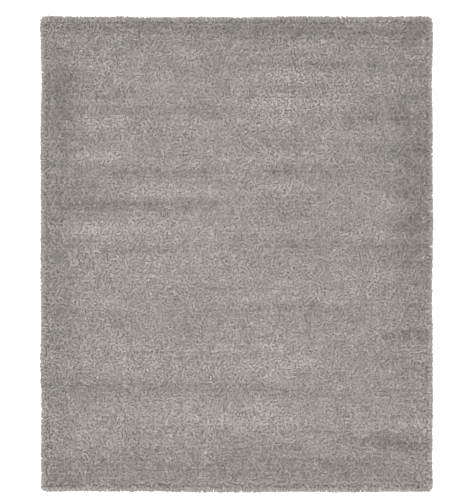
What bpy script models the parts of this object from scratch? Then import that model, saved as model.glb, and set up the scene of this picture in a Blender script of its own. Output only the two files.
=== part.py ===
"""Shag rug: one flat slab of long pile with a lumpy top, and loose locks of yarn round its rim.

Metres, +Z up. The origin lies on the floor under the middle of the rug. +X runs across the rug
and +Y along it.
"""

import math
import random
from collections import namedtuple

import bmesh
import bpy
from mathutils import Vector, noise

# The rug, out to the tips of its longest locks
RUG_WIDTH = 2.010
RUG_LENGTH = 2.440
PILE_HEIGHT = 0.034  # floor to the mean level of the lumps

# The lumps of the pile's top
CELLS_ACROSS = 40
CELLS_ALONG = 49
BROAD_LUMP_HEIGHT = 0.0045
BROAD_LUMPS_PER_METRE = 7.0
TUFT_LUMP_HEIGHT = 0.0046  # how far one cell's corner may stand above or below its neighbours
CORNER_RADIUS = 0.034  # in plan, where the pile's top ends

# The side of the pile, from the top's edge down to the floor. Each section is one closed loop.
# out: how far it lies outside the top's edge; height: above the floor; wave: its unevenness
Section = namedtuple("Section", "out height wave")
SHOULDER = Section(out=0.016, height=0.0295, wave=0.0025)
LIP = Section(out=0.024, height=0.0205, wave=0.0022)
SKIRT = Section(out=0.026, height=0.0095, wave=0.0020)
FOOT = Section(out=0.015, height=0.0, wave=0.0)
RIM_WAVES_PER_METRE = 11.0

# The locks at the rim, in two rows. Each is four-sided, thick as far as its waist, and then pointed.
# every: which faces of the rim have one; reach: the longest one's length outwards; rise: how far its
# tip ends above its root
Locks = namedtuple("Locks", "every reach rise")
UPPER_LOCKS = Locks(every=3, reach=0.019, rise=0.001)
LOWER_LOCKS = Locks(every=2, reach=0.023, rise=-0.0055)
SHORTEST_SHARE = 0.55  # of the longest reach
WAIST_AT = 0.6  # of the reach
WAIST_SHARE = 0.72  # of the root's size
SIDE_LEAN = 0.0050  # of a tip, either way along the rim
LOWEST_TIP = 0.0025

PILE_COLOUR = (0.325, 0.305, 0.280, 1.0)
PILE_ROUGHNESS = 0.95

# The top's own outline, inside the rim and its locks
TOP_HALF_WIDTH = RUG_WIDTH / 2 - SKIRT.out - LOWER_LOCKS.reach
TOP_HALF_LENGTH = RUG_LENGTH / 2 - SKIRT.out - LOWER_LOCKS.reach


def clear_scene():
    for obj in list(bpy.data.objects):
        bpy.data.objects.remove(obj, do_unlink=True)


def past_corner_centre(point):
    """From the nearest corner arc's centre to the point, level with the floor. It has no part along
    a side that the point lies beside."""
    across = max(abs(point.x) - (TOP_HALF_WIDTH - CORNER_RADIUS), 0.0)
    along = max(abs(point.y) - (TOP_HALF_LENGTH - CORNER_RADIUS), 0.0)
    return Vector((across if point.x > 0 else -across, along if point.y > 0 else -along, 0.0))


def outward(point):
    return past_corner_centre(point).normalized()


def round_corner(vert):
    """Draws a point of the grid's corner in onto the corner's arc."""
    from_centre = past_corner_centre(vert.co)
    too_far = from_centre.length - CORNER_RADIUS
    if too_far > 0:
        vert.co -= from_centre.normalized() * too_far


def lump(point, rng):
    """How far the pile stands above or below its mean level here."""
    broad = noise.noise(Vector((point.x, point.y, 0.0)) * BROAD_LUMPS_PER_METRE)
    return BROAD_LUMP_HEIGHT * broad + TUFT_LUMP_HEIGHT * rng.uniform(-1, 1)


def pile_top(bm, rng):
    """The lumpy top: a grid, with its corners rounded. Returns the edges round it."""
    bmesh.ops.create_grid(bm, x_segments=CELLS_ACROSS, y_segments=CELLS_ALONG, size=1.0)
    bmesh.ops.scale(bm, vec=(TOP_HALF_WIDTH, TOP_HALF_LENGTH, 1.0), verts=bm.verts)
    border = [edge for edge in bm.edges if edge.is_boundary]
    bmesh.ops.subdivide_edges(bm, edges=border, cuts=1)
    for vert in bm.verts:
        round_corner(vert)
        vert.co.z = PILE_HEIGHT + lump(vert.co, rng)
    return [edge for edge in bm.edges if edge.is_boundary]


def rim_section(bm, border, before, section):
    """Draws the border out and down to the next section. Returns its new edges and faces."""
    made = bmesh.ops.extrude_edge_only(bm, edges=border)["geom"]
    for vert in (item for item in made if isinstance(item, bmesh.types.BMVert)):
        wave = section.wave * noise.noise(vert.co * RIM_WAVES_PER_METRE)
        vert.co += outward(vert.co) * (section.out - before.out + wave)
        vert.co.z = section.height + wave
    edges = [item for item in made if isinstance(item, bmesh.types.BMEdge) and item.is_boundary]
    return edges, [item for item in made if isinstance(item, bmesh.types.BMFace)]


def draw_out(bm, face, centre, share):
    """Extrudes one face by itself, to a new centre and a share of its size."""
    end = bmesh.ops.extrude_discrete_faces(bm, faces=[face])["faces"][0]
    old_centre = end.calc_center_median()
    for vert in end.verts:
        vert.co = centre + (vert.co - old_centre) * share
    return end


def grow_lock(bm, root, locks, rng):
    """One lock of yarn, drawn out of the rim to a waist and then to a point."""
    start = root.calc_center_median()
    out = outward(start)
    reach = locks.reach * rng.uniform(SHORTEST_SHARE, 1)
    lean = Vector((-out.y, out.x, 0.0)) * rng.uniform(-SIDE_LEAN, SIDE_LEAN)
    tip = start + out * reach + lean
    tip.z = max(start.z + locks.rise * rng.uniform(0, 2), LOWEST_TIP)
    waist = start.lerp(tip, WAIST_AT)
    waist.z = start.z + (tip.z - start.z) * WAIST_AT**2
    end = draw_out(bm, draw_out(bm, root, waist, WAIST_SHARE), tip, WAIST_SHARE)
    bmesh.ops.pointmerge(bm, verts=end.verts, merge_co=tip)


def round_the_rim(faces):
    """The faces of one wall, in order round the rug."""
    def bearing(face):
        centre = face.calc_center_median()
        return math.atan2(centre.y, centre.x)

    return sorted(faces, key=bearing)


def centre_on_origin(bm):
    """Sets the middle of the whole outline, locks and all, over the origin."""
    for axis in (0, 1):
        places = [vert.co[axis] for vert in bm.verts]
        middle = (min(places) + max(places)) / 2
        for vert in bm.verts:
            vert.co[axis] -= middle


def pile_material():
    material = bpy.data.materials.new("grey_pile")
    material.use_nodes = True
    shader = material.node_tree.nodes["Principled BSDF"]
    shader.inputs["Base Color"].default_value = PILE_COLOUR
    shader.inputs["Roughness"].default_value = PILE_ROUGHNESS
    shader.inputs["Metallic"].default_value = 0.0
    return material


def shag_rug():
    """The whole rug. Pile and ground are woven together, so it is one solid."""
    rng = random.Random(11)
    bm = bmesh.new()
    border = pile_top(bm, rng)
    before = Section(out=0.0, height=PILE_HEIGHT, wave=0.0)
    walls = {}
    for section in (SHOULDER, LIP, SKIRT, FOOT):
        border, walls[section] = rim_section(bm, border, before, section)
        before = section
    bmesh.ops.edgeloop_fill(bm, edges=border)
    bmesh.ops.recalc_face_normals(bm, faces=bm.faces)
    for section, locks in ((LIP, UPPER_LOCKS), (SKIRT, LOWER_LOCKS)):
        for root in round_the_rim(walls[section])[:: locks.every]:
            grow_lock(bm, root, locks, rng)
    centre_on_origin(bm)

    mesh = bpy.data.meshes.new("shag_rug")
    bm.to_mesh(mesh)
    bm.free()
    mesh.shade_smooth()
    mesh.materials.append(pile_material())
    return bpy.data.objects.new("shag_rug", mesh)


def main():
    clear_scene()
    collection = bpy.data.collections.new("shag_rug_parts")
    bpy.context.scene.collection.children.link(collection)
    collection.objects.link(shag_rug())


main()
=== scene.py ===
"""Shag rug: a flat rectangle of long grey pile, lying on a plain pale floor.

Metres, +Z up. The origin lies on the floor under the middle of the rug. +X runs across the rug and
+Y along it. The pile is thousands of yarn ends, each a bent copy of one modelled end. They
stand in tufts on a dense lumpy foot, and that on a woven backing.
"""

import math
from collections import namedtuple

import bmesh
import bpy
import numpy as np
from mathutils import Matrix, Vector, noise
from mathutils.kdtree import KDTree


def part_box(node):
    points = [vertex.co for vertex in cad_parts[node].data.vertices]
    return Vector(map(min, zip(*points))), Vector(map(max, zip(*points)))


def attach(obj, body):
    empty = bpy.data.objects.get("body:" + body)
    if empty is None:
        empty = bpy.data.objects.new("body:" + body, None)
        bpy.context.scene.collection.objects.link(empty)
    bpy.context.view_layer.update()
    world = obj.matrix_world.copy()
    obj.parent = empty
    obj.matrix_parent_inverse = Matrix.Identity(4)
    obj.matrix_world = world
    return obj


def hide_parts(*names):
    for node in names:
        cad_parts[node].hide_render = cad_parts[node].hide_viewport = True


bl_info = {
    "name": "Shag Rug",
    "version": (1, 0, 0),
    "blender": (4, 5, 0),
    "location": "View3D > Sidebar > Shag Rug",
    "description": "Builds a shag rug of separate yarn ends, its backing and a plain stage",
    "category": "Add Mesh",
}

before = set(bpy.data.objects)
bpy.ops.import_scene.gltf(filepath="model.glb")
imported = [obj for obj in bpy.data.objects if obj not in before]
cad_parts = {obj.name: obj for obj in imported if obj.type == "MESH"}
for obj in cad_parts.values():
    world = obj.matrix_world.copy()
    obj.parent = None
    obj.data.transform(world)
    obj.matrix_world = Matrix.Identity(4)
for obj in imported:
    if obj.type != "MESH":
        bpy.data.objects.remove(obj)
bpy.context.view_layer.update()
_, RUG_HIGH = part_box("shag_rug")
HALF_WIDTH = RUG_HIGH.x
HALF_LENGTH = RUG_HIGH.y

# The photograph, in its own pixels: how high it is, how long the rug is in it, and where the rug's
# middle lies from the photograph's own
PHOTO_HIGH = 500
RUG_LONG_IN_PHOTO = 474.8
RUG_RIGHT_OF_MIDDLE = -1.3
RUG_ABOVE_MIDDLE = -4.2

# The stage
KEY_LIGHT_PLACE = (-2.6, -3.2, 4.6)
SENSOR_SIZE = 36.0  # in millimetres, along the picture's longer side, which is its height

# One yarn end, as modelled before it is bent: its sides, and its rings' heights and sizes
YARN_SIDES = 3
BEND_STEPS = 16
BODY_TOP = 8 / BEND_STEPS
SHOULDER_TOP = 14 / BEND_STEPS
SHOULDER_SIZE = 0.82
LEVEL_FACE = 0.9  # the upward part of a face's normal, from which the face counts as level
LEAN_GROWTH = 1.1  # how the lean grows along a bent yarn end, where 1 is evenly
LOWEST_YARN = 0.0012  # above the floor

# The yarns' own map: a column for each shade, with a share of it left free on every side
YARN_MAP = "OFBake"
YARN_SHADES = 64
MARGIN_AROUND = 0.02
MARGIN_ALONG = 0.01

# The yarn's twist and fibres. The twist is also painted shade: the yarn's colour is scaled down,
# more in the grooves between the plies than on their crowns
PLIES = 3.0
PLIES_CROSSED = 5.0  # by a straight line from a yarn end's root to its tip
PLY_BRIGHTNESS = 0.90
PLY_GROOVE_SHADE = 0.10
FIBRES_ON_PLY = 2.0
FIBRE_DARKENING = 0.36
FIBRE_RELIEF = 2.0  # as a multiple of the twist's

# The rug's outline, the pile's foot and the backing
CORNER_RADIUS = 0.026
FOOT_CELL = 0.027
FOOT_ROUNDING_WIDTH = 0.024
FOOT_ROUNDING_DROP = 0.005
PACKED_YARNS_PER_METRE = 105.0
PACKED_YARN_STRAY = (0.016, 0.016, 0.0)
# the last share is painted shade, dark in the gaps between the packed yarns
PACKED_YARN_SHARES = (1.22, 0.80, 0.34)  # of the foot's colour: pale yarn, dull yarn and the gaps
BACKING_CELL = 0.1
BACKING_THICKNESS = 0.0018
BACKING_INSIDE_FOOT = 0.001  # how far its edge lies inside the foot's
TAPE_WIDTH = 0.007
TAPE_ROUNDING = 0.3  # of a tape's ends, where it goes under the next: the power of its height
WEAR = 0.35
# Painted shade of the weave: the jute is darkest where a tape dips under the next, and in its own
# colour on a tape's crown
SHADED_JUTE = (0.23, 0.195, 0.145)
LIGHT_JUTE = (0.46, 0.405, 0.320)
WORN_JUTE = (0.16, 0.13, 0.09)
BLACK = (0.0, 0.0, 0.0)

# Smooth unevenness over the rug. size: what it seldom goes past, either way; across, along: the size
# of its lumps; layer: which layer of the noise it is taken from, so that no two are alike
Unevenness = namedtuple("Unevenness", "size across along layer")
STREAKY_SHADE = Unevenness(size=0.11, across=0.50, along=0.050, layer=1.0)
MOTTLED_SHADE = Unevenness(size=0.03, across=0.09, along=0.06, layer=2.0)
UNEVEN_RIM_SHADE = Unevenness(size=0.05, across=0.09, along=0.09, layer=3.0)
FINE_EDGE_WANDER = Unevenness(size=0.0010, across=0.045, along=0.045, layer=4.0)
BROAD_EDGE_WANDER = Unevenness(size=0.0055, across=0.35, along=0.35, layer=6.0)
FOOT_LUMPS = Unevenness(size=0.0014, across=0.050, along=0.050, layer=5.0)

# Where the pile stands: tufts in rows, and the tips of their yarn ends in closer rows. stray: how
# far places usually lie off the rows, as a share of the pitch; edge: how far inside the rug's
# outline the last of them lie
Rows = namedtuple("Rows", "stray edge")
TUFT_ROWS = Rows(stray=0.16, edge=0.012)
TIP_ROWS = Rows(stray=0.11, edge=0.010)
TUFTS_DRAWN_TO = 0.021  # inside the outline: tufts nearer to it are moved in to there
PILE_STRIPS = 5  # across the rug, each a piece
RANDOM_START = 5

# The pile's yarn ends. A range gives shares of the usual size, and a spread how far from the mean
# the values usually lie.
TUFT_TALLNESS_SPREAD = 0.07
TALLNESS_RANGE = (0.85, 1.12)  # of a tuft, and again of a yarn end in it
THICKNESS_RANGE = (0.85, 1.15)
CURL_SPREAD = 0.4
ROOT_DEPTH = 0.003  # below the top of the foot
FANNING = 1.5  # how much further a yarn end is swept out than its root was drawn in
BENT_REACH = 0.85  # of its length, that a bent yarn end can be swept out
GREATEST_SINE = 0.98  # of a yarn end's lean
ROOT_LEAN_SHARE = 0.5
TIP_LEAN_SHARE = 1.6
EDGE_SWEEP = 0.008  # outwards, at the edge of the foot
EDGE_SWEEP_WIDTH = 0.025  # from the edge of the foot in to where that sweep ends

# The pile's shades, from 0, dark, to 1, light
MEAN_SHADE = 0.64
# how strongly the streaks of painted light and shade show in the pile's colour
PAINTED_BRUSHING_SHARE = 0.72  # of the streaks' shades
TUFT_SHADE_SPREAD = 0.10
YARN_SHADE_SPREAD = 0.03  # among the yarn ends of a tuft
CALM_BORDER = 0.08  # from the outline in to where tufts differ in shade as much as anywhere
CALMEST_SHARE = 0.4  # of that difference, at the outline

# The yarn ends at the rim. Their roots lie up the side of the foot, and they lean the more or the
# less the higher the root. lowest: the lean at the lowest root; change: from there to the highest
Lean = namedtuple("Lean", "lowest change spread")
RIM_ROOT_LEAN = Lean(lowest=1.35, change=-0.6, spread=0.12)
RIM_TIP_LEAN = Lean(lowest=1.65, change=0.35, spread=0.15)
RIM_COUNT = 5400
RIM_STRAY = 0.4  # along the rim, as a share of the way to the next
RIM_ROOT_DEPTHS = (0.002, 0.008)  # inside the side of the foot
RIM_LOWEST_ROOT = 0.004
RIM_ROOT_RISE = 0.010  # from the lowest root to the highest
RIM_HEADING_SPREAD = 0.15
RIM_CURL_SPREAD = 0.3
RIM_LENGTH_RANGE = (1.25, 1.75)
RIM_THICKNESS_RANGE = (0.75, 1.1)
# The rim's yarn ends are made darker than the pile's: painted shade along the rug's edge, where the
# pile falls over to the side
RIM_SHADE = 0.17
RIM_SHADE_SPREAD = 0.05

# Where the yarn ends that reach past the rug's outline are cut
CUT_DEPTH = 0.0091  # inside the outline
CUT_SPREAD = 0.0020
SHORTEST_CUT = 0.35  # of its length, the least that is left of a yarn end

# Painted light and shade: long streaks, where the pile was brushed one way and looks darker or
# lighter as the light falls on it, and darker bands along the rug's sides and ends. across, along:
# the middle; length: across the rug; height: along it; shade: lighter above 0
Streak = namedtuple("Streak", "across along length height shade")
PAINTED_STREAKS = (
    Streak(0.10, 1.166, 2.30, 0.088, -0.60),
    Streak(-0.35, 1.072, 1.30, 0.050, -0.35),
    Streak(0.78, 1.088, 0.40, 0.060, -0.35),
    Streak(-0.33, 1.036, 0.45, 0.050, 0.40),
    Streak(0.42, 0.970, 1.10, 0.045, -0.35),
    Streak(-0.88, 0.920, 0.24, 0.170, -0.40),
    Streak(0.22, 0.915, 0.50, 0.050, 0.28),
    Streak(-0.46, 0.921, 0.26, 0.045, 0.32),
    Streak(0.32, 0.770, 0.65, 0.060, 0.25),
    Streak(-0.50, 0.745, 0.95, 0.055, -0.28),
    Streak(0.78, 0.705, 0.45, 0.060, -0.35),
    Streak(-0.70, 0.500, 0.24, 0.060, 0.55),
    Streak(-0.70, 0.670, 0.20, 0.070, 0.40),
    Streak(0.80, 0.548, 0.42, 0.060, -0.40),
    Streak(0.15, 0.480, 0.50, 0.050, 0.38),
    Streak(0.00, 0.420, 2.00, 0.055, -0.30),
    Streak(-0.35, 0.322, 0.60, 0.060, 0.35),
    Streak(-0.53, 0.252, 0.85, 0.050, -0.55),
    Streak(0.88, 0.176, 0.24, 0.070, -0.35),
    Streak(-0.48, 0.137, 0.80, 0.070, 0.35),
    Streak(0.68, 0.110, 0.34, 0.050, 0.30),
    Streak(0.47, 0.055, 1.00, 0.040, -0.40),
    Streak(-0.30, -0.055, 0.40, 0.050, 0.25),
    Streak(0.48, -0.184, 0.35, 0.050, 0.25),
    Streak(0.10, -0.315, 0.90, 0.045, -0.25),
    Streak(0.84, -0.415, 0.32, 0.055, -0.45),
    Streak(-0.10, -0.560, 1.10, 0.150, 0.22),
    Streak(-0.31, -0.685, 1.00, 0.050, -0.40),
    Streak(0.02, -0.845, 1.05, 0.110, 0.34),
    Streak(0.84, -0.980, 0.32, 0.060, -0.55),
    Streak(0.00, -1.110, 2.30, 0.250, -0.34),
    Streak(0.00, -1.190, 2.30, 0.060, -0.12),
    Streak(-0.08, -0.100, 0.95, 2.400, 0.06),
    Streak(-0.93, 0.720, 0.24, 0.300, -0.20),
    Streak(-0.97, 0.000, 0.32, 2.600, -0.36),
    Streak(0.96, 0.300, 0.29, 1.700, -0.50),
)


class RugPileSettings(bpy.types.PropertyGroup):
    """Sizes and colours of the pile."""

    yarn_thickness: bpy.props.FloatProperty(
        name="Yarn thickness",
        description="Of one yarn end, where it is thickest",
        default=0.0088,
        min=0.001,
        max=0.02,
        unit="LENGTH",
    )
    yarn_length: bpy.props.FloatProperty(
        name="Yarn length",
        description="Of a yarn end above the pile's foot, measured along the yarn",
        default=0.027,
        min=0.01,
        max=0.12,
        unit="LENGTH",
    )
    tuft_pitch: bpy.props.FloatProperty(
        name="Tuft pitch",
        description="From one tuft to the next",
        default=0.0275,
        min=0.008,
        max=0.06,
        unit="LENGTH",
    )
    yarn_pitch: bpy.props.FloatProperty(
        name="Yarn pitch",
        description="From one yarn end to the next, at their tips",
        default=0.00928,
        min=0.004,
        max=0.04,
        unit="LENGTH",
    )
    gathering: bpy.props.FloatProperty(
        name="Gathering",
        description="How far the yarn ends of one tuft are drawn together at their roots",
        default=0.5,
        min=0.0,
        max=0.95,
        subtype="FACTOR",
    )
    sway: bpy.props.FloatProperty(
        name="Sway",
        description="How far a tuft, and each yarn end in it, is swept over to one side",
        default=0.0038,
        min=0.0,
        max=0.02,
        unit="LENGTH",
    )
    dark_yarn: bpy.props.FloatVectorProperty(
        name="Darkest yarn",
        description="Colour of the darkest yarn ends",
        default=(0.330, 0.308, 0.283),
        min=0.0,
        max=1.0,
        subtype="COLOR",
    )
    light_yarn: bpy.props.FloatVectorProperty(
        name="Lightest yarn",
        description="Colour of the lightest yarn ends",
        default=(0.715, 0.677, 0.635),
        min=0.0,
        max=1.0,
        subtype="COLOR",
    )


class RugGroundSettings(bpy.types.PropertyGroup):
    """Sizes and colours of what the pile stands in."""

    foot_height: bpy.props.FloatProperty(
        name="Foot height",
        description="From the floor to the top of the pile's dense foot",
        default=0.0175,
        min=0.004,
        max=0.03,
        unit="LENGTH",
    )
    foot_inset: bpy.props.FloatProperty(
        name="Foot inset",
        description="How far the foot of the pile ends inside the rug's outline",
        default=0.020,
        min=0.0,
        max=0.06,
        unit="LENGTH",
    )
    foot_colour: bpy.props.FloatVectorProperty(
        name="Foot colour",
        description="Colour of the yarn deep in the pile",
        default=(0.60, 0.567, 0.529),
        min=0.0,
        max=1.0,
        subtype="COLOR",
    )


class RugStageSettings(bpy.types.PropertyGroup):
    """The floor, the light and the camera."""

    lens: bpy.props.FloatProperty(
        name="Lens",
        description="Focal length, in millimetres",
        default=85.0,
        min=20.0,
        max=300.0,
    )
    floor_colour: bpy.props.FloatVectorProperty(
        name="Floor colour",
        description="Colour of the floor",
        default=(0.90, 0.90, 0.895),
        min=0.0,
        max=1.0,
        subtype="COLOR",
    )


# --- Shared making -----------------------------------------------------------------------------


def deselect_all():
    bpy.ops.object.select_all(action="DESELECT")


def settled(name):
    """The new object in hand, named and with its place in its mesh."""
    obj = bpy.context.object
    obj.name = name
    obj.data.name = name
    bpy.ops.object.transform_apply(location=True, rotation=True, scale=True)
    return obj


def apply_modifiers(obj):
    for modifier in list(obj.modifiers):
        bpy.ops.object.modifier_apply(modifier=modifier.name)


def depth_inside(x, y):
    """How far each place lies inside the rug's outline, whose corners are rounded."""
    past_x = np.abs(x) - (HALF_WIDTH - CORNER_RADIUS)
    past_y = np.abs(y) - (HALF_LENGTH - CORNER_RADIUS)
    beyond = np.hypot(np.maximum(past_x, 0), np.maximum(past_y, 0))
    return CORNER_RADIUS - beyond - np.minimum(np.maximum(past_x, past_y), 0)


def outward(x, y, step=0.001):
    """The direction straight out of the rug at each place."""
    slope_x = depth_inside(x - step, y) - depth_inside(x + step, y)
    slope_y = depth_inside(x, y - step) - depth_inside(x, y + step)
    bearing = np.arctan2(slope_y, slope_x)
    return np.stack([np.cos(bearing), np.sin(bearing)], 1)


def uneven(x, y, kind):
    """Smooth unevenness of one kind at each place."""
    places = [Vector((u / kind.across, v / kind.along, kind.layer)) for u, v in zip(x, y)]
    return kind.size * np.array([2 * noise.noise(place) for place in places])


def foot_top(x, y, ground):
    """How high the pile's dense foot stands at each place: lumpy, and rounded down at its edge."""
    from_edge = depth_inside(x, y) - ground.foot_inset
    rounding = np.clip(1 - from_edge / FOOT_ROUNDING_WIDTH, 0, 1) ** 2
    return ground.foot_height + uneven(x, y, FOOT_LUMPS) - FOOT_ROUNDING_DROP * rounding


def painted_brushing_shade(x, y):
    """Painted light and shade: how much lighter or darker the pile's colour is made at each place,
    for how the light falls on pile brushed one way. A streak is even over most of its length, and
    fades softly at its ends and its sides."""
    total = np.zeros_like(x)
    for streak in PAINTED_STREAKS:
        off_x = (x - streak.across) / (streak.length / 2)
        off_y = (y - streak.along) / (streak.height / 2)
        total += streak.shade * np.exp(-(off_x**4) - off_y**2)
    return total


# --- Materials ---------------------------------------------------------------------------------


class Nodes:
    """Adds nodes to one material and links them."""

    def __init__(self, name):
        self.material = bpy.data.materials.new(name)
        self.material.use_nodes = True
        self.tree = self.material.node_tree
        self.shader = self.tree.nodes["Principled BSDF"]

    def add(self, kind, inputs=(), **settings):
        """A node with its inputs set, each from a link or a value. Returns its first output."""
        node = self.tree.nodes.new(kind)
        for key, value in settings.items():
            setattr(node, key, value)
        for key, value in dict(inputs).items():
            self.set(node.inputs[key], value)
        return node.outputs[0]

    def set(self, socket, value):
        if isinstance(value, bpy.types.NodeSocket):
            self.tree.links.new(value, socket)
        else:
            socket.default_value = value

    def maths(self, operation, first, second=0.0, third=0.0):
        inputs = {0: first, 1: second, 2: third}
        return self.add("ShaderNodeMath", inputs, operation=operation)

    def mix(self, share, first, second):
        node = self.tree.nodes.new("ShaderNodeMix")
        node.data_type = "RGBA"
        self.set(node.inputs["Factor"], share)
        self.set(node.inputs["A"], first)
        self.set(node.inputs["B"], second)
        return node.outputs["Result"]

    def finished(self, surface):
        """The material, with its shader's own sockets set, each from a link or a value."""
        for key, value in surface.items():
            self.set(self.shader.inputs[key], value)
        return self.material


def opaque(colour):
    return (*colour, 1.0)


def yarn_material(pile):
    """Plied yarn in many shades. Its own map holds a column for each shade: across the column is
    round the yarn, and up it is along the yarn."""
    nodes = Nodes("grey_yarn")
    place = nodes.add("ShaderNodeUVMap", uv_map=YARN_MAP)
    parts = nodes.add("ShaderNodeSeparateXYZ", {0: place}).node
    column = nodes.maths("MULTIPLY", parts.outputs["X"], float(YARN_SHADES))
    level = nodes.maths("FLOOR", column)
    around = nodes.maths("SUBTRACT", column, level)
    along = parts.outputs["Y"]
    shade = nodes.maths("DIVIDE", level, float(YARN_SHADES - 1))
    colour = nodes.mix(shade, opaque(pile.dark_yarn), opaque(pile.light_yarn))
    # painted shade deep in the pile: the colour a little darker towards the yarn end's root
    reach = {"Value": along, "From Min": 0.25, "From Max": 0.8, "To Min": 0.95, "To Max": 1.0}
    depth = nodes.add("ShaderNodeMapRange", reach)
    darkened = nodes.mix(depth, opaque(BLACK), colour)
    crossed = nodes.maths("MULTIPLY", along, PLIES_CROSSED)
    turns = nodes.maths("ADD", nodes.maths("MULTIPLY", around, PLIES), crossed)
    wave = nodes.maths("SINE", nodes.maths("MULTIPLY", turns, 2 * math.pi))
    # painted shade of the twist: the colour darker in the grooves between the plies
    groove_shade = nodes.maths("MULTIPLY_ADD", wave, PLY_GROOVE_SHADE, PLY_BRIGHTNESS)
    groove_shaded = nodes.mix(groove_shade, opaque(BLACK), darkened)
    strand = {"X": nodes.maths("MULTIPLY", turns, FIBRES_ON_PLY), "Y": along, "Z": level}
    fibres = nodes.add(
        "ShaderNodeTexNoise",
        {"Vector": nodes.add("ShaderNodeCombineXYZ", strand), "Scale": 3.0, "Detail": 3.0},
    )
    fuzzy = nodes.mix(nodes.maths("MULTIPLY", fibres, FIBRE_DARKENING), groove_shaded, opaque(BLACK))
    relief = nodes.maths("ADD", wave, nodes.maths("MULTIPLY", fibres, FIBRE_RELIEF))
    bump = nodes.add("ShaderNodeBump", {"Height": relief, "Strength": 0.5, "Distance": 0.0008})
    return nodes.finished(
        {
            "Base Color": fuzzy,
            "Normal": bump,
            "Diffuse Roughness": 0.6,
            "Sheen Weight": 0.25,
            "Roughness": 0.9,
            "Specular IOR Level": 0.2,
        }
    )


def foot_material(ground):
    """The dense foot of the pile: the sides and loops of yarn packed close, and painted shade, dark,
    in the gaps between them.
    """
    nodes = Nodes("pile_foot")
    place = nodes.add("ShaderNodeTexCoord").node.outputs["Object"]
    warp = nodes.add("ShaderNodeTexNoise", {"Vector": place, "Scale": 45.0, "Detail": 1.0})
    strayed = nodes.add(
        "ShaderNodeVectorMath",
        {0: warp.node.outputs["Color"], 1: PACKED_YARN_STRAY, 2: place},
        operation="MULTIPLY_ADD",
    )
    packed = {"Vector": strayed, "Scale": PACKED_YARNS_PER_METRE}
    ends = nodes.add("ShaderNodeTexVoronoi", packed)
    gaps = nodes.add("ShaderNodeTexVoronoi", packed, feature="DISTANCE_TO_EDGE")
    shade = nodes.add("ShaderNodeSeparateColor", {0: ends.node.outputs["Color"]})
    pale, dull, dark = (
        opaque(share * part for part in ground.foot_colour) for share in PACKED_YARN_SHARES
    )
    # painted shade: dark in the gaps between the packed yarns, rising to their own colour on their
    # crowns; the same rise makes the bump
    rise = {"Value": gaps, "From Min": 0.0, "From Max": 0.16, "To Min": 0.0, "To Max": 1.0}
    crown = nodes.add("ShaderNodeMapRange", rise, interpolation_type="SMOOTHSTEP")
    bump = nodes.add("ShaderNodeBump", {"Height": crown, "Strength": 0.8, "Distance": 0.003})
    return nodes.finished(
        {
            "Base Color": nodes.mix(crown, dark, nodes.mix(shade, dull, pale)),
            "Normal": bump,
            "Roughness": 0.95,
            "Specular IOR Level": 0.1,
        }
    )


def backing_material():
    """Plain-woven backing: flat jute-coloured tapes that pass over and under each other, with
    painted shade, darker, where a tape dips at its edges and under the next.
    """
    nodes = Nodes("woven_backing")
    place = nodes.add("ShaderNodeTexCoord").node.outputs["Object"]
    parts = nodes.add("ShaderNodeSeparateXYZ", {0: place}).node
    crown_x, crown_y = (
        nodes.maths(
            "ABSOLUTE", nodes.maths("SINE", nodes.maths("MULTIPLY", out, math.pi / TAPE_WIDTH))
        )
        for out in parts.outputs[:2]
    )
    lengthwise, crosswise = (
        nodes.maths("MULTIPLY", crown, nodes.maths("POWER", other, TAPE_ROUNDING))
        for crown, other in ((crown_x, crown_y), (crown_y, crown_x))
    )
    checks = nodes.add("ShaderNodeTexChecker", {"Vector": place, "Scale": 1 / TAPE_WIDTH})
    height = nodes.mix(checks.node.outputs["Fac"], lengthwise, crosswise)
    # painted shade: darker where a tape dips
    jute_with_shade = nodes.mix(height, opaque(SHADED_JUTE), opaque(LIGHT_JUTE))
    worn = nodes.add("ShaderNodeTexNoise", {"Vector": place, "Scale": 9.0, "Detail": 5.0})
    bump = nodes.add("ShaderNodeBump", {"Height": height, "Strength": 0.7, "Distance": 0.001})
    return nodes.finished(
        {
            "Base Color": nodes.mix(nodes.maths("MULTIPLY", worn, WEAR), jute_with_shade, opaque(WORN_JUTE)),
            "Normal": bump,
            "Roughness": 0.9,
            "Specular IOR Level": 0.2,
        }
    )


def floor_material(stage):
    """The plain floor. It glows a little, because the photograph's is almost white."""
    return Nodes("pale_floor").finished(
        {
            "Base Color": opaque(stage.floor_colour),
            "Roughness": 0.8,
            "Specular IOR Level": 0.0,
            "Emission Color": (1.0, 1.0, 0.99, 1.0),
            "Emission Strength": 0.55,
        }
    )


# --- The yarn ----------------------------------------------------------------------------------


def modelled_yarn_end():
    """One straight yarn end, a metre long and a metre in radius: a three-sided stem, a shoulder and
    a blunt point. Bent copies of it make the pile."""
    deselect_all()
    bpy.ops.mesh.primitive_cylinder_add(
        vertices=YARN_SIDES, radius=1.0, depth=BODY_TOP, location=(0, 0, BODY_TOP / 2)
    )
    obj = settled("yarn_end")
    bpy.ops.object.mode_set(mode="EDIT")
    bpy.ops.mesh.select_mode(type="FACE")
    bpy.ops.mesh.select_all(action="DESELECT")
    shape = bmesh.from_edit_mesh(obj.data)
    for face in shape.faces:
        if face.normal.z > LEVEL_FACE:
            face.select_set(True)
    bmesh.update_edit_mesh(obj.data)
    rise = (0, 0, SHOULDER_TOP - BODY_TOP)
    bpy.ops.mesh.extrude_region_move(TRANSFORM_OT_translate={"value": rise})
    bpy.ops.transform.resize(
        value=(SHOULDER_SIZE, SHOULDER_SIZE, 1), center_override=(0, 0, SHOULDER_TOP)
    )
    bpy.ops.mesh.extrude_region_move(TRANSFORM_OT_translate={"value": (0, 0, 1 - SHOULDER_TOP)})
    bpy.ops.mesh.merge(type="CENTER")
    bpy.ops.object.mode_set(mode="OBJECT")
    return obj


YarnForm = namedtuple("YarnForm", "points corners starts counts around along")


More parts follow.
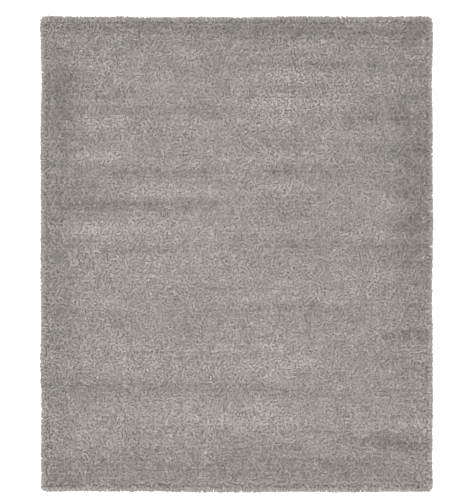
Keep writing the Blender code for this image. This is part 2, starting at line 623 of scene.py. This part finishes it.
def yarn_form():
    """The modelled yarn end's points and faces as arrays, with each face corner's place round the
    yarn and along it."""
    obj = modelled_yarn_end()
    mesh = obj.data
    points = np.array([vert.co for vert in mesh.vertices])
    corners = np.array([loop.vertex_index for loop in mesh.loops])
    starts = np.array([face.loop_start for face in mesh.polygons])
    counts = np.array([face.loop_total for face in mesh.polygons])
    middle = np.repeat([math.atan2(face.center.y, face.center.x) for face in mesh.polygons], counts)
    level = np.repeat([abs(face.normal.z) > LEVEL_FACE for face in mesh.polygons], counts)
    bearing = np.arctan2(points[corners, 1], points[corners, 0])
    off = (bearing - middle + math.pi) % (2 * math.pi) - math.pi
    off[np.isclose(points[corners, 2], 1)] = 0
    around = np.where(level, bearing, middle + off) / (2 * math.pi) % 1
    # Where the round begins again, a face that ends there has 1, and one that starts there has 0
    side_middle = middle / (2 * math.pi) % 1
    around = np.where(~level & (around < side_middle - 0.5), around + 1, around)
    around = np.where(~level & (around > side_middle + 0.5), around - 1, around)
    around = np.clip(around, MARGIN_AROUND, 1 - MARGIN_AROUND)
    along = np.clip(points[corners, 2], MARGIN_ALONG, 1 - MARGIN_ALONG)
    bpy.data.objects.remove(obj, do_unlink=True)
    return YarnForm(points, corners, starts, counts, around, along)


# Yarn ends to be made, as arrays of one value each. root: its place, x, y and z; heading: which way
# it leans; curl: how far that turns on the way to its tip; root_lean, tip_lean: from upright;
# length, thickness; turn: how far it is turned about itself; shade: from 0, dark, to 1, light, and
# taken as 0 or 1 where it lies beyond
Yarns = namedtuple("Yarns", "root heading curl root_lean tip_lean length thickness turn shade")


def yarn_lines(yarns):
    """Each yarn end's middle line and its directions, at BEND_STEPS + 1 places along it."""
    along = np.linspace(0, 1, BEND_STEPS + 1)
    lean_change = (yarns.tip_lean - yarns.root_lean)[:, None]
    lean = yarns.root_lean[:, None] + lean_change * along**LEAN_GROWTH
    heading = yarns.heading[:, None] + yarns.curl[:, None] * along
    ahead = np.stack(
        [np.sin(lean) * np.cos(heading), np.sin(lean) * np.sin(heading), np.cos(lean)], -1
    )
    side = np.stack([-np.sin(heading), np.cos(heading), np.zeros_like(heading)], -1)
    steps = (ahead[:, 1:] + ahead[:, :-1]) / 2 * (yarns.length / BEND_STEPS)[:, None, None]
    line = np.zeros_like(ahead)
    line[:, 1:] = np.cumsum(steps, 1)
    return line + yarns.root[:, None], ahead, side


def trimmed(yarns, rng):
    """The same yarn ends, with those that reach past the rug's outline cut shorter there. The
    outline that they are cut to wanders a little in and out, as a woven edge does."""
    line, _, _ = yarn_lines(yarns)
    tip_x, tip_y = line[:, -1, 0], line[:, -1, 1]
    slack = rng.normal(CUT_DEPTH, CUT_SPREAD, len(yarns.length))
    slack += uneven(tip_x, tip_y, FINE_EDGE_WANDER)
    slack += uneven(tip_x, tip_y, BROAD_EDGE_WANDER)
    reach = -depth_inside(line[..., 0], line[..., 1]) - slack[:, None]
    inside = (reach < 0).sum(1) / (BEND_STEPS + 1)
    keep = np.where(reach[:, -1] > 0, np.clip(inside, SHORTEST_CUT, 1), 1.0)
    return yarns._replace(
        length=yarns.length * keep,
        tip_lean=yarns.root_lean + (yarns.tip_lean - yarns.root_lean) * keep,
    )


def set_yarns(name, yarns, form, material):
    """One piece: a bent copy of the modelled yarn end for each of the yarns."""
    line, ahead, side = yarn_lines(yarns)
    step = np.rint(form.points[:, 2] * BEND_STEPS).astype(int)
    turn = yarns.turn[:, None]
    x = form.points[:, 0] * np.cos(turn) - form.points[:, 1] * np.sin(turn)
    y = form.points[:, 0] * np.sin(turn) + form.points[:, 1] * np.cos(turn)
    third = np.cross(ahead[:, step], side[:, step])
    radius = yarns.thickness[:, None, None] / 2
    points = line[:, step] + radius * (x[..., None] * side[:, step] + y[..., None] * third)
    points[..., 2] = np.maximum(points[..., 2], LOWEST_YARN)

    count, per_yarn = len(yarns.length), len(form.points)
    first = np.arange(count)[:, None]
    mesh = bpy.data.meshes.new(name)
    mesh.vertices.add(count * per_yarn)
    mesh.vertices.foreach_set("co", points.astype(np.float32).ravel())
    mesh.loops.add(count * len(form.corners))
    mesh.loops.foreach_set(
        "vertex_index", (first * per_yarn + form.corners).astype(np.int32).ravel()
    )
    mesh.polygons.add(count * len(form.starts))
    mesh.polygons.foreach_set(
        "loop_start", (first * len(form.corners) + form.starts).astype(np.int32).ravel()
    )
    mesh.polygons.foreach_set("loop_total", np.tile(form.counts, count).astype(np.int32))
    column = np.clip((yarns.shade * YARN_SHADES).astype(int), 0, YARN_SHADES - 1)
    layer = mesh.uv_layers.new(name=YARN_MAP)
    across = (column[:, None] + form.around) / YARN_SHADES
    up = np.broadcast_to(form.along, across.shape)
    layer.uv.foreach_set("vector", np.stack([across, up], -1).astype(np.float32).ravel())
    mesh.update(calc_edges=True)
    mesh.validate()
    mesh.shade_smooth()
    mesh.materials.append(material)
    obj = bpy.data.objects.new(name, mesh)
    bpy.context.scene.collection.objects.link(obj)
    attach(obj, "root")
    return obj


def spread_places(pitch, rows, rng):
    """Places all over the rug: a pitch apart, in rows a pitch apart, each row shifted by half a
    pitch from the last."""
    places_across = math.ceil(2 * HALF_WIDTH / pitch)
    rows_along = math.ceil(2 * HALF_LENGTH / pitch)
    column, row = np.meshgrid(np.arange(places_across + 1), np.arange(rows_along + 1))
    x = (column - places_across / 2 + (row % 2) / 2) * pitch
    y = (row - rows_along / 2) * pitch
    x = x.ravel() + rng.normal(0, rows.stray * pitch, x.size)
    y = y.ravel() + rng.normal(0, rows.stray * pitch, y.size)
    kept = depth_inside(x, y) > rows.edge
    return np.stack([x, y], 1)[kept]


def drawn_in(places, least_depth):
    """The same places, with each that is too near the rug's edge moved straight in."""
    short = np.maximum(least_depth - depth_inside(*places.T), 0)
    return places - short[:, None] * outward(*places.T)


def nearest_place(points, places):
    """For each point, the number of the place nearest to it."""
    tree = KDTree(len(places))
    for number, (x, y) in enumerate(places):
        tree.insert((x, y, 0), number)
    tree.balance()
    return np.array([tree.find((x, y, 0))[1] for x, y in points])


def pile_yarns(pile, ground, rng):
    """The yarn ends of the whole pile but for its rim. Each fans out from the tuft it stands in, so
    the tips lie evenly all over and the roots in bunches."""
    tufts = drawn_in(spread_places(pile.tuft_pitch, TUFT_ROWS, rng), TUFTS_DRAWN_TO)
    calm = np.clip(depth_inside(*tufts.T) / CALM_BORDER, CALMEST_SHARE, 1)
    own_shade = rng.normal(0, 1, len(tufts)) * calm
    tuft_shade = (
        MEAN_SHADE
        + PAINTED_BRUSHING_SHARE * painted_brushing_shade(*tufts.T)
        + uneven(*tufts.T, STREAKY_SHADE)
        + uneven(*tufts.T, MOTTLED_SHADE)
        + TUFT_SHADE_SPREAD * own_shade
    )
    tuft_sway = rng.normal(0, pile.sway, tufts.shape)
    tuft_tallness = np.clip(rng.normal(1, TUFT_TALLNESS_SPREAD, len(tufts)), *TALLNESS_RANGE)

    places = spread_places(pile.yarn_pitch, TIP_ROWS, rng)
    tuft = nearest_place(places, tufts)
    count = len(places)
    off = places - tufts[tuft]
    root = tufts[tuft] + (1 - pile.gathering) * off
    x, y = root.T
    near_edge = np.clip(1 - (depth_inside(x, y) - ground.foot_inset) / EDGE_SWEEP_WIDTH, 0, 1)
    sweep = pile.gathering * FANNING * off + tuft_sway[tuft] + rng.normal(0, pile.sway, off.shape)
    sweep += EDGE_SWEEP * near_edge[:, None] * outward(x, y)
    length = pile.yarn_length * tuft_tallness[tuft] * rng.uniform(*TALLNESS_RANGE, count)
    lean = np.arcsin(np.minimum(np.hypot(*sweep.T) / (BENT_REACH * length), GREATEST_SINE))
    return Yarns(
        root=np.column_stack([root, foot_top(x, y, ground) - ROOT_DEPTH]),
        heading=np.arctan2(sweep[:, 1], sweep[:, 0]),
        curl=rng.normal(0, CURL_SPREAD, count),
        root_lean=ROOT_LEAN_SHARE * lean,
        tip_lean=TIP_LEAN_SHARE * lean,
        length=length,
        thickness=pile.yarn_thickness * rng.uniform(*THICKNESS_RANGE, count),
        turn=rng.uniform(0, 2 * math.pi, count),
        shade=tuft_shade[tuft] + rng.normal(0, YARN_SHADE_SPREAD, count),
    )


def leans(lean, up, rng):
    """How far each yarn end of the rim leans, from how high its root is: 0, lowest, to 1."""
    return lean.lowest + lean.change * up + rng.normal(0, lean.spread, len(up))


def rim_yarns(pile, ground, rng):
    """The yarn ends at the very edge, which fall over the side of the pile towards the floor. Their
    tips are spread evenly round the rug, so at a corner they fan out from one place."""
    corners_x = HALF_WIDTH * np.array([-1, 1, 1, -1, -1])
    corners_y = HALF_LENGTH * np.array([-1, -1, 1, 1, -1])
    way = np.concatenate([[0], np.cumsum(np.hypot(np.diff(corners_x), np.diff(corners_y)))])
    count = RIM_COUNT
    place = (np.arange(count) + rng.uniform(-RIM_STRAY, RIM_STRAY, count)) / count * way[-1]
    tip_x = np.interp(place, way, corners_x)
    tip_y = np.interp(place, way, corners_y)
    inset = ground.foot_inset + rng.uniform(*RIM_ROOT_DEPTHS, count)
    x = np.clip(tip_x, inset - HALF_WIDTH, HALF_WIDTH - inset)
    y = np.clip(tip_y, inset - HALF_LENGTH, HALF_LENGTH - inset)
    up = rng.uniform(0, 1, count)
    return Yarns(
        root=np.stack([x, y, RIM_LOWEST_ROOT + RIM_ROOT_RISE * up], 1),
        heading=np.arctan2(tip_y - y, tip_x - x) + rng.normal(0, RIM_HEADING_SPREAD, count),
        curl=rng.normal(0, RIM_CURL_SPREAD, count),
        root_lean=leans(RIM_ROOT_LEAN, up, rng),
        tip_lean=leans(RIM_TIP_LEAN, up, rng),
        length=pile.yarn_length * rng.uniform(*RIM_LENGTH_RANGE, count),
        thickness=pile.yarn_thickness * rng.uniform(*RIM_THICKNESS_RANGE, count),
        turn=rng.uniform(0, 2 * math.pi, count),
        # painted shade: the rim darker than the pile
        shade=RIM_SHADE + uneven(x, y, UNEVEN_RIM_SHADE) + rng.normal(0, RIM_SHADE_SPREAD, count),
    )


def only(yarns, chosen):
    return Yarns(*(values[chosen] for values in yarns))


# --- Operators ---------------------------------------------------------------------------------


class RUG_OT_lay_foot(bpy.types.Operator):
    """Make the dense foot of the pile, which closes the gaps between the yarn ends"""

    bl_idname = "rug.lay_foot"
    bl_label = "Pile foot"
    bl_options = {"REGISTER", "UNDO"}

    def execute(self, context):
        ground = context.scene.rug_ground
        half_w = HALF_WIDTH - ground.foot_inset
        half_l = HALF_LENGTH - ground.foot_inset
        deselect_all()
        bpy.ops.mesh.primitive_grid_add(
            x_subdivisions=round(2 * half_w / FOOT_CELL),
            y_subdivisions=round(2 * half_l / FOOT_CELL),
            size=2.0,
            location=(0, 0, ground.foot_height),
        )
        foot = settled("pile_foot")
        bpy.ops.object.mode_set(mode="EDIT")
        bpy.ops.transform.resize(value=(half_w, half_l, 1), center_override=(0, 0, 0))
        bpy.ops.mesh.select_mode(type="EDGE")
        bpy.ops.mesh.select_all(action="DESELECT")
        bpy.ops.mesh.select_non_manifold()
        sink = BACKING_THICKNESS - ground.foot_height
        bpy.ops.mesh.extrude_region_move(TRANSFORM_OT_translate={"value": (0, 0, sink)})
        bpy.ops.mesh.edge_face_add()
        bpy.ops.mesh.select_all(action="SELECT")
        bpy.ops.mesh.normals_make_consistent(inside=False)
        bpy.ops.object.mode_set(mode="OBJECT")
        places = np.array([vert.co for vert in foot.data.vertices])
        upper = places[:, 2] > ground.foot_height / 2
        places[upper, 2] = foot_top(places[upper, 0], places[upper, 1], ground)
        foot.data.vertices.foreach_set("co", places.astype(np.float32).ravel())
        foot.data.update()
        foot.data.shade_smooth()
        foot.data.materials.append(foot_material(ground))
        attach(foot, "root")
        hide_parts("shag_rug")
        return {"FINISHED"}


class RUG_OT_set_pile(bpy.types.Operator):
    """Set the yarn ends of the pile, in strips across the rug"""

    bl_idname = "rug.set_pile"
    bl_label = "Pile yarn"
    bl_options = {"REGISTER", "UNDO"}

    def execute(self, context):
        pile, ground = context.scene.rug_pile, context.scene.rug_ground
        rng = np.random.default_rng(RANDOM_START)
        form = yarn_form()
        material = yarn_material(pile)
        yarns = trimmed(pile_yarns(pile, ground, rng), rng)
        strip = ((yarns.root[:, 1] / HALF_LENGTH + 1) / 2 * PILE_STRIPS).astype(int)
        for number in range(PILE_STRIPS):
            set_yarns(f"pile_yarn_{number + 1}", only(yarns, strip == number), form, material)
        rim = trimmed(rim_yarns(pile, ground, rng), rng)
        set_yarns("rim_yarn", rim, form, material)
        return {"FINISHED"}


class RUG_OT_lay_backing(bpy.types.Operator):
    """Make the woven backing, which lies on the floor"""

    bl_idname = "rug.lay_backing"
    bl_label = "Backing"
    bl_options = {"REGISTER", "UNDO"}

    def execute(self, context):
        ground = context.scene.rug_ground
        inset = ground.foot_inset + BACKING_INSIDE_FOOT
        width, length = 2 * (HALF_WIDTH - inset), 2 * (HALF_LENGTH - inset)
        deselect_all()
        bpy.ops.mesh.primitive_grid_add(
            x_subdivisions=round(width / BACKING_CELL),
            y_subdivisions=round(length / BACKING_CELL),
            size=1.0,
        )
        backing = settled("backing")
        bpy.ops.object.mode_set(mode="EDIT")
        bpy.ops.mesh.select_all(action="SELECT")
        bpy.ops.transform.resize(value=(width, length, 1), center_override=(0, 0, 0))
        bpy.ops.object.mode_set(mode="OBJECT")
        thicken = backing.modifiers.new("thickness", "SOLIDIFY")
        thicken.thickness = BACKING_THICKNESS
        thicken.offset = 1.0
        apply_modifiers(backing)
        backing.data.materials.append(backing_material())
        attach(backing, "root")
        return {"FINISHED"}


class RUG_OT_set_stage(bpy.types.Operator):
    """Set the floor, the light and the camera"""

    bl_idname = "rug.set_stage"
    bl_label = "Stage"
    bl_options = {"REGISTER", "UNDO"}

    def execute(self, context):
        stage = context.scene.rug_stage
        deselect_all()
        bpy.ops.mesh.primitive_plane_add(size=60)
        floor = settled("floor")
        floor.data.materials.append(floor_material(stage))

        bpy.ops.object.light_add(type="AREA", location=KEY_LIGHT_PLACE)
        key = bpy.context.object
        key.name = "key_light"
        key.data.shape = "RECTANGLE"
        key.data.size = 3.0
        key.data.size_y = 2.4
        key.data.energy = 60.0
        key.rotation_euler = Vector(KEY_LIGHT_PLACE).to_track_quat("Z", "Y").to_euler()

        world = bpy.data.worlds.new("studio")
        world.use_nodes = True
        backdrop = world.node_tree.nodes["Background"]
        backdrop.inputs["Color"].default_value = (1, 1, 1, 1)
        backdrop.inputs["Strength"].default_value = 1.95
        context.scene.world = world

        pixel = 2 * HALF_LENGTH / RUG_LONG_IN_PHOTO
        distance = PHOTO_HIGH * pixel * stage.lens / SENSOR_SIZE
        aim = Vector((-RUG_RIGHT_OF_MIDDLE * pixel, -RUG_ABOVE_MIDDLE * pixel, RUG_HIGH.z))
        bpy.ops.object.camera_add(location=aim + Vector((0, 0, distance)), rotation=(0, 0, 0))
        camera = bpy.context.object
        camera.name = "camera"
        camera.data.lens = stage.lens
        camera.data.sensor_width = SENSOR_SIZE
        context.scene.camera = camera
        context.scene.view_settings.view_transform = "Standard"
        return {"FINISHED"}


class RUG_PT_parts(bpy.types.Panel):
    """Lists the rug's pieces and their sizes"""

    bl_label = "Shag Rug"
    bl_idname = "RUG_PT_parts"
    bl_space_type = "VIEW_3D"
    bl_region_type = "UI"
    bl_category = "Shag Rug"

    def draw(self, context):
        for group in ("rug_pile", "rug_ground", "rug_stage"):
            box = self.layout.box()
            settings = getattr(context.scene, group)
            for name in settings.__annotations__:
                box.prop(settings, name)
        for operator in OPERATORS:
            self.layout.operator(operator.bl_idname)


SETTINGS = {
    "rug_pile": RugPileSettings,
    "rug_ground": RugGroundSettings,
    "rug_stage": RugStageSettings,
}
OPERATORS = (RUG_OT_lay_foot, RUG_OT_set_pile, RUG_OT_lay_backing, RUG_OT_set_stage)


def register():
    for cls in (*SETTINGS.values(), *OPERATORS, RUG_PT_parts):
        bpy.utils.register_class(cls)
    for name, cls in SETTINGS.items():
        setattr(bpy.types.Scene, name, bpy.props.PointerProperty(type=cls))


def unregister():
    for name in SETTINGS:
        delattr(bpy.types.Scene, name)
    for cls in reversed((*SETTINGS.values(), *OPERATORS, RUG_PT_parts)):
        bpy.utils.unregister_class(cls)


def main():
    register()
    bpy.ops.rug.lay_foot()
    bpy.ops.rug.set_pile()
    bpy.ops.rug.lay_backing()
    bpy.ops.rug.set_stage()


if __name__ == "__main__":
    main()
